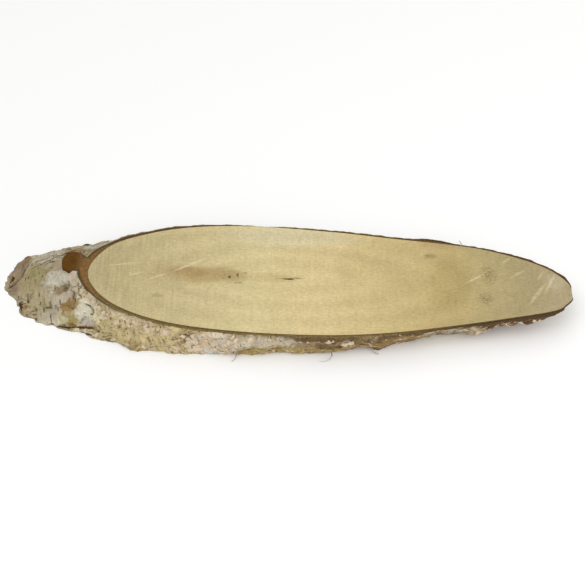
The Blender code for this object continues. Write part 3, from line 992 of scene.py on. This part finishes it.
class BIRCH_OT_inner_bark(bpy.types.Operator):
    """Add the ring of dark inner bark that the saw went through"""

    bl_idname = "birch.inner_bark"
    bl_label = "Inner Bark"

    def execute(self, context):
        log = Log(RING_COLUMNS)
        bm = bmesh.new()
        across = bm.verts.layers.float.new("across")
        bmesh.ops.create_grid(bm, x_segments=RING_COLUMNS, y_segments=RING_ROWS, size=0.5)
        for vert in bm.verts:
            turn = 2 * pi * (vert.co.x + 0.5)
            vert.co = Vector((cos(turn), sin(turn), 0)) * (1.5 + vert.co.y)
        bmesh.ops.remove_doubles(bm, verts=bm.verts, dist=0.0001)
        deepened(bm)
        reach = {depth: [log.reach(i, 1 - depth) for i in range(RING_COLUMNS)] for depth in (0, 1)}
        for vert in bm.verts:
            depth = round(-vert.co.z, 3)
            column = round(atan2(vert.co.y, vert.co.x) / (2 * pi) * RING_COLUMNS) % RING_COLUMNS
            out = reach[round(depth)][column]
            normal, wall = log.normals[column], log.side(column, 1 - depth)[1]
            inner = wood_reach(normal, out, depth) - RING_LAP
            outer = inner + RING_LAP
            if depth in (0, 1):
                inset = RING_INSET / hypot(wall.x, wall.y) ** (2 * depth)
                widest = log.bark_width(normal) * (1 + 2 * max(normal.y, 0))
                widest *= 1 - NARROWED * ramp(*NARROWS_MM, log.rim[column].x / MM)
                lean = max(-normal.x, 0) * log.trunk.x / THICKNESS * log.sizes.bark_drop * (1 - depth)
                outer = max(min(out - inset, widest) + lean, outer)
            share = vert.co.xy.length - 1
            vert[across] = share
            flat = log.rim[column] + log.normals[column] * (inner + (outer - inner) * share)
            fibre = noise.noise(Vector((flat.x, flat.y, depth)) / FIBRE_SPACING) * FIBRE_HEIGHT
            fall = log.sizes.bark_drop * (0.4 + 0.5 * share + 1.2 * ramp(LIP, 1.0, share)) + fibre
            height = THICKNESS * (1 - depth) - fall * (1 if depth == 0 else -1 if depth == 1 else 0)
            vert.co = (flat.x - log.trunk.x * depth, flat.y, height)
        finished(bm, "inner_bark", "inner_bark", cut_bark())
        return {"FINISHED"}


BARK_COLUMNS = 1000
BARK_ROWS = 88
OVERRUN = 0.18  # share of the thickness by which the skin starts out past each cut
INNER_ROWS = 3
SNAP = 0.05 * MM  # points nearer to a cut than this move onto it
LOWER_CUT = 0.05 * MM  # height of the lower cut, just clear of the floor
DARK_CUT = (-120.0 * MM, -95.0 * MM, 80.0 * MM, 105.0 * MM)  # the cut bark is dark out past these


class BIRCH_OT_outer_bark(bpy.types.Operator):
    """Add the outer bark: a log's skin with all its relief, sawn through twice"""

    bl_idname = "birch.outer_bark"
    bl_label = "Outer Bark"

    def execute(self, context):
        log = Log(BARK_COLUMNS)
        bm = bmesh.new()
        shade_and_cut_dark = bm.verts.layers.float.new("shade_and_cut_dark")
        layer = bm.verts.layers.float.new("layer")
        for rows, inner in ((BARK_ROWS, False), (INNER_ROWS, True)):
            skin = bmesh.ops.create_grid(bm, x_segments=BARK_COLUMNS, y_segments=rows, size=0.5)["verts"]
            for vert in skin:
                column = round((vert.co.x + 0.5) * BARK_COLUMNS) % BARK_COLUMNS
                level = (vert.co.y + 0.5) * (1 + 2 * OVERRUN) - OVERRUN
                point, wall = log.side(column, level)
                if inner:
                    height = min(log.coarse(point, wall), 0.0) - log.sizes.crust
                else:
                    # the second value is the painted shade in creases and at the feet of torn layers
                    height, vert[shade_and_cut_dark], vert[layer] = log.bark(point, wall)
                vert.co = point + wall * height
            bmesh.ops.remove_doubles(bm, verts=skin, dist=WELD)
        for height, below in ((THICKNESS - log.sizes.bark_drop, True), (LOWER_CUT, False)):
            self.saw(bm, height, below)
        piece = finished(bm, "outer_bark", "outer_bark", birch_bark())
        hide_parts("birch_slice")
        return {"FINISHED"}

    def saw(self, bm, height, keep_below):
        """Saws the skin level at this height, drops what is past the cut and closes the cut."""
        cut = bmesh.ops.bisect_plane(
            bm,
            geom=bm.verts[:] + bm.edges[:] + bm.faces[:],
            dist=SNAP,
            plane_co=(0, 0, height),
            plane_no=(0, 0, 1 if keep_below else -1),
            use_snap_center=True,
            clear_outer=True,
        )
        loops = [g for g in cut["geom_cut"] if isinstance(g, bmesh.types.BMEdge) and g.is_boundary]
        shade_and_cut_dark = bm.verts.layers.float["shade_and_cut_dark"]
        for edge in loops:
            for vert in edge.verts:
                left, right = ramp(DARK_CUT[1], DARK_CUT[0], vert.co.x), ramp(*DARK_CUT[2:], vert.co.x)
                vert[shade_and_cut_dark] = max(vert[shade_and_cut_dark], left, right)
        bmesh.ops.triangle_fill(bm, use_beauty=True, use_dissolve=False, edges=loops)


FACE_CENTRE_MM = (-149.4, 11.2)
FACE_REACH_MM = (7.9, 9.4)
FACE_DEPTH = 8.0 * MM


class BIRCH_OT_branch_stub(bpy.types.Operator):
    """Add the dead branch's stub, with its face planed off by the saw"""

    bl_idname = "birch.branch_stub"
    bl_label = "Branch Stub"

    def execute(self, context):
        bm = bmesh.new()
        bmesh.ops.create_grid(bm, x_segments=96, y_segments=22, size=0.5)
        for vert in bm.verts:
            angle = 2 * pi * (vert.co.x + 0.5)
            share = vert.co.y + 0.5
            spoke = Vector((cos(angle) * FACE_REACH_MM[0], sin(angle) * FACE_REACH_MM[1], 0)) * MM
            flat = spoke * share * (1 + 0.07 * noise.noise(spoke / (4 * MM)))
            rough = 0.05 * noise.noise(flat / (1.2 * MM)) + 0.08 * noise.noise(flat / (3.5 * MM))
            hollow = 0.5 * ramp(0.9, 1.0, share)
            vert.co = flat + Vector((0, 0, (rough - hollow) * MM))
        bmesh.ops.remove_doubles(bm, verts=bm.verts, dist=WELD)
        thickened(bm, bm.faces, (0, 0, -FACE_DEPTH))
        top = THICKNESS - context.scene.birch_sizes.stub_drop
        place = (FACE_CENTRE_MM[0] * MM, FACE_CENTRE_MM[1] * MM, top)
        bmesh.ops.translate(bm, verts=bm.verts, vec=place)
        finished(bm, "branch_stub", "inner_bark", dead_branch())
        return {"FINISHED"}


# Loose plates of bark: points along the attached edge, width, lift of the free edge, and its side
PLATES_MM = (
    (((-178, 19, 5.6), (-171, 22, 6.2), (-162, 27, 6.6)), 3, 0.8, -1),
    (((-168, 23, 6.4), (-160, 29, 7), (-152, 32, 8)), 3, 0.8, -1),
    (((-146, -38.4, 1.4), (-139, -39.2, 1.7), (-132, -39.6, 2.3), (-127, -42.1, 2.7)), 1.8, 0.8, 1),
    (((-141.5, -23.5, 12.9), (-137, -24.4, 14), (-133, -26.6, 14)), 3, 0.9, 1),
    (((-128, -32, 11.8), (-125, -36, 9.6), (-122, -40.5, 6.4)), 3, 0.9, -1),
)
PLATE_COLUMNS = 500
PLATE_THICKNESS = 0.4 * MM
PLATE_TONE = 0.75  # a plate is paler than the bark that it has come away from


class BIRCH_OT_loose_plates(bpy.types.Operator):
    """Add the plates of bark that have come loose along one edge"""

    bl_idname = "birch.loose_plates"
    bl_label = "Loose Plates"

    def execute(self, context):
        log = Log(PLATE_COLUMNS)
        bm = bmesh.new()
        layer = bm.verts.layers.float.new("layer")
        for points, width, lift, side in PLATES_MM:
            self.plate(bm, log, [Vector(p) * MM for p in points], width * MM, lift * MM, side)
        for vert in bm.verts:
            vert[layer] = PLATE_TONE
        finished(bm, "loose_plates", "outer_bark", bpy.data.materials.get("birch_bark") or birch_bark())
        return {"FINISHED"}

    def plate(self, bm, log, points, width, lift, side):
        """One plate: a thin sheet that leaves the bark along the points and curls up from it."""
        sheet = bmesh.ops.create_grid(bm, x_segments=30, y_segments=6, size=0.5)["verts"]
        for vert in sheet:
            share, out = vert.co.x + 0.5, vert.co.y + 0.5
            place = share * (len(points) - 1)
            i = min(int(place), len(points) - 2)
            root = points[i].lerp(points[i + 1], place - i)
            smooth, wall = log.side(*log.under(root))
            root -= wall * (root - smooth).dot(wall)
            aside = wall.cross(points[i + 1] - points[i]).normalized() * side
            ragged = 1 + 0.5 * noise.noise(root / (3 * MM)) - 0.6 * abs(2 * share - 1) ** 4
            flat = root + aside * width * out * ragged
            rise = lift * out**1.6 * ragged + 0.1 * MM
            vert.co = flat + wall * (max(log.coarse(flat, wall), log.bark(flat, wall)[0]) + rise)
        thickened(bm, {face for vert in sheet for face in vert.link_faces}, -wall * PLATE_THICKNESS)


# Where paper flakes sit: span of x, span of height, number, span of sizes (mm), and the log's far side
FLAKES_MM = (
    ((-128, -72), (13, 17.6), 52, (2, 4.8), False),
    ((-128, -60), (0.6, 4), 20, (2, 3.6), False),
    ((-74, -20), (2, 17), 34, (2.4, 4.6), False),
    ((-62, -34), (3, 14), 9, (6, 9), False),
    ((-20, 34), (13, 17), 14, (1.2, 3), False),
    ((-30, 34), (0.6, 4), 16, (1.5, 3.2), False),
    ((40, 47), (7, 14), 9, (3, 5.2), False),
    ((48, 92), (2, 15), 16, (1.2, 3), False),
    ((90, 136), (8, 15), 22, (2.4, 4.6), False),
    ((128, 192), (6, 17), 46, (1.6, 4), False),
    ((-150, 180), (2, 16), 40, (1.4, 3.4), True),
)
LOOSE_COLUMNS = 600  # of the log's side, for flakes and fibres
FLAKE_THICKNESS = 0.25 * MM


class BIRCH_OT_paper_flakes(bpy.types.Operator):
    """Add small curled flakes of the papery outermost bark"""

    bl_idname = "birch.paper_flakes"
    bl_label = "Paper Flakes"

    def execute(self, context):
        log = Log(LOOSE_COLUMNS)
        draw = random.Random(11)
        bm = bmesh.new()
        for span, heights, count, sizes, far in FLAKES_MM:
            for _ in range(round(count * log.sizes.flakes)):
                x, z = draw.uniform(*span) * MM, draw.uniform(*heights) * MM
                column, level = log.beside(x, z, far)
                self.flake(bm, draw, log, log.side(column, level), draw.uniform(*sizes) * MM)
        finished(bm, "paper_flakes", "outer_bark", paper_bark())
        return {"FINISHED"}

    def flake(self, bm, draw, log, place, size):
        """One flake: a small thin sheet of uneven outline, lying over the bark and curled up at one end. A
        flake that would stand out past a cut is left out, as the saw has taken it."""
        point, wall = place
        turn = draw.uniform(-0.7, 0.7)
        along = log.up * cos(turn) + wall.cross(log.up) * sin(turn)
        aside = wall.cross(along) * draw.uniform(0.35, 0.75)
        curl = draw.uniform(0.0, 0.2)
        seed = Vector((draw.uniform(0, 99), 0, 0))
        sheet = bmesh.ops.create_grid(bm, x_segments=6, y_segments=4, size=1.0)["verts"]
        for vert in sheet:
            x, y = vert.co.x, vert.co.y
            round_x, round_y = x * (1 - y * y / 2) ** 0.5, y * (1 - x * x / 2) ** 0.5
            uneven = 1 + 0.7 * noise.noise(Vector((round_x, round_y, 0)) * 1.6 + seed)
            flat = point + (along * round_x + aside * round_y) * size * uneven / 2
            lift = FLAKE_THICKNESS + curl * size * max(x, 0) ** 2
            vert.co = flat + wall * (log.bark(flat, wall)[0] + lift)
        heights = [vert.co.z for vert in sheet]
        if min(heights) < LOWER_CUT or max(heights) > THICKNESS - LOWER_CUT:
            bmesh.ops.delete(bm, geom=sheet, context="VERTS")
            return
        thickened(bm, {face for vert in sheet for face in vert.link_faces}, -wall * FLAKE_THICKNESS)


# Curly hairs that stand out past the edge: points in mm, and radius
HAIRS_MM = (
    (((-31, -54, 2.4), (-30.8, -57, 2), (-31.6, -59.4, 1.2), (-33.4, -60.4, 0.6)), 0.4),
    (((33, -50, 3), (33.6, -53, 2.2), (32, -55.6, 1.2), (28.6, -57.4, 0.9), (25.6, -57, 0.6)), 0.4),
    (((59, -45, 3), (61, -47.6, 2.2), (65, -48.4, 1)), 0.45),
    (((119.6, 42, 17.4), (120, 44.4, 17.6), (118.6, 46.6, 17.8)), 0.45),
)
FIBRE_PLACES_MM = ((-26.0, 96.0), (-52.0, -40.0), (3.2, 9.0))  # spans in which the fibres' middles lie
FIBRE_STEPS = 7
FIBRE_TAPER = 0.86  # thickness left after each step


class BIRCH_OT_bast_fibres(bpy.types.Operator):
    """Add the straw-like fibres along the near edge and the hairs that stand out past it"""

    bl_idname = "birch.bast_fibres"
    bl_label = "Bast Fibres"

    def execute(self, context):
        log = Log(LOOSE_COLUMNS)
        draw = random.Random(5)
        bm = bmesh.new()
        for _ in range(log.sizes.fibres):
            middle = Vector([draw.uniform(*span) for span in FIBRE_PLACES_MM])
            column, level = log.under(middle * MM)
            point, wall = log.side(column, level)
            root = point + wall * log.bark(point, wall)[0]
            along = Vector((1.0, 0, draw.uniform(-0.2, 0.2))).normalized()
            along = (along - wall * along.dot(wall)).normalized()
            span = draw.uniform(4.0, 13.0) * MM
            bow = draw.uniform(0.1, 0.7) * MM
            shares = [i / FIBRE_STEPS for i in range(FIBRE_STEPS + 1)]
            line = [root + along * span * (t - 0.5) + wall * bow * sin(pi * t) for t in shares]
            self.fibre(bm, line, draw.uniform(0.2, 0.42) * MM)
        straw = len(bm.faces)
        for points, radius in HAIRS_MM:
            self.fibre(bm, [Vector(p) * MM for p in points], radius * MM)
        bm.faces.ensure_lookup_table()
        for face in bm.faces[straw:]:
            face.material_index = 1
        finished(bm, "bast_fibres", "outer_bark", torn_bast(), weathered_hair())
        return {"FINISHED"}

    def fibre(self, bm, line, radius):
        """A thin round fibre along the points, finer towards its end."""
        start = (line[1] - line[0]).to_track_quat("Z", "Y").to_matrix().to_4x4()
        ring = bmesh.ops.create_circle(
            bm, cap_ends=True, radius=radius, segments=5, matrix=Matrix.Translation(line[0]) @ start
        )["verts"]
        face = ring[0].link_faces[0]
        for a, b in zip(line, line[1:]):
            made = bmesh.ops.extrude_face_region(bm, geom=[face])["geom"]
            face = next(g for g in made if isinstance(g, bmesh.types.BMFace))
            bmesh.ops.translate(bm, verts=face.verts, vec=b - a)
            thinner = Matrix.Translation(-b)
            bmesh.ops.scale(bm, verts=face.verts, vec=(FIBRE_TAPER,) * 3, space=thinner)


# The camera stands where the photograph was taken from
CAMERA_ELEVATION = radians(45.8)
CAMERA_AZIMUTH = radians(3.37)
CAMERA_DISTANCE = 1.3
CAMERA_TARGET_MM = (4.03, -1.8, 9.0)
CAMERA_LENS = 115.94

# Soft boxes: name, place on the dome in degrees, distance, side of the square and power
SOFT_BOXES = (
    ("key_box", -25.0, 65.0, 1.4, 1.4, 5.0),
    ("fill_box", 72.0, 28.0, 1.5, 1.4, 8.0),
    ("back_box", 170.0, 50.0, 1.6, 1.2, 1.0),
)
SKY = 0.73
FLOOR_REACH = 4.0
FLOOR_GAP = 0.05 * MM  # how far the floor lies below the slice


def on_dome(azimuth, elevation, distance):
    """Point round the slice, azimuth 0 at the near side."""
    flat = cos(elevation)
    return Vector((sin(azimuth) * flat, -cos(azimuth) * flat, sin(elevation))) * distance


class BIRCH_OT_studio(bpy.types.Operator):
    """Add the pale floor, the soft light and the camera"""

    bl_idname = "birch.studio"
    bl_label = "Studio"

    def execute(self, context):
        scene = context.scene
        scene.view_settings.view_transform = "Standard"
        bm = bmesh.new()
        bmesh.ops.create_grid(bm, x_segments=1, y_segments=1, size=FLOOR_REACH)
        bmesh.ops.translate(bm, verts=bm.verts, vec=(0, 0, -FLOOR_GAP))
        mesh = bpy.data.meshes.new("floor")
        bm.to_mesh(mesh)
        bm.free()
        paper = new_material("floor_paper", 0.9, Specular_IOR_Level=0.1, Base_Color=scene.birch_colours.floor)
        mesh.materials.append(paper[0])
        floor = bpy.data.objects.new("floor", mesh)
        scene.collection.objects.link(floor)
        for name, azimuth, elevation, distance, side, power in SOFT_BOXES:
            light = bpy.data.lights.new(name, "AREA")
            light.size = side
            light.energy = power
            box = bpy.data.objects.new(name, light)
            box.location = on_dome(radians(azimuth), radians(elevation), distance)
            box.rotation_euler = (-box.location).to_track_quat("-Z", "Y").to_euler()
            scene.collection.objects.link(box)
        world = bpy.data.worlds.new("studio")
        world.use_nodes = True
        sky = world.node_tree.nodes["Background"]
        sky.inputs["Color"].default_value = grey(1.0)
        sky.inputs["Strength"].default_value = SKY
        scene.world = world
        lens = bpy.data.cameras.new("camera")
        lens.lens = CAMERA_LENS
        camera = bpy.data.objects.new("camera", lens)
        away = on_dome(CAMERA_AZIMUTH, CAMERA_ELEVATION, CAMERA_DISTANCE)
        camera.location = Vector(CAMERA_TARGET_MM) * MM + away
        camera.rotation_euler = (-away).to_track_quat("-Z", "Y").to_euler()
        scene.collection.objects.link(camera)
        scene.camera = camera
        return {"FINISHED"}


OPERATORS = (
    BIRCH_OT_studio,
    BIRCH_OT_sawn_wood,
    BIRCH_OT_inner_bark,
    BIRCH_OT_outer_bark,
    BIRCH_OT_branch_stub,
    BIRCH_OT_loose_plates,
    BIRCH_OT_paper_flakes,
    BIRCH_OT_bast_fibres,
)


class BIRCH_PT_panel(bpy.types.Panel):
    """Sizes and colours of the birch slice, and a button for each piece"""

    bl_idname = "BIRCH_PT_panel"
    bl_label = "Birch Slice"
    bl_space_type = "VIEW_3D"
    bl_region_type = "UI"
    bl_category = "Birch Slice"

    def draw(self, context):
        for group in (context.scene.birch_sizes, context.scene.birch_colours):
            box = self.layout.box()
            for name in group.bl_rna.properties.keys():
                if name not in ("rna_type", "name"):
                    box.prop(group, name)
        for operator in OPERATORS:
            self.layout.operator(operator.bl_idname)


CLASSES = (BirchSizes, BirchColours, *OPERATORS, BIRCH_PT_panel)


def register():
    for made in CLASSES:
        bpy.utils.register_class(made)
    bpy.types.Scene.birch_sizes = PointerProperty(type=BirchSizes)
    bpy.types.Scene.birch_colours = PointerProperty(type=BirchColours)


def unregister():
    del bpy.types.Scene.birch_colours
    del bpy.types.Scene.birch_sizes
    for made in reversed(CLASSES):
        bpy.utils.unregister_class(made)


def main():
    """Adds every piece."""
    register()
    bpy.ops.birch.studio()
    bpy.ops.birch.sawn_wood()
    bpy.ops.birch.inner_bark()
    bpy.ops.birch.outer_bark()
    bpy.ops.birch.branch_stub()
    bpy.ops.birch.loose_plates()
    bpy.ops.birch.paper_flakes()
    bpy.ops.birch.bast_fibres()


if __name__ == "__main__":
    main()
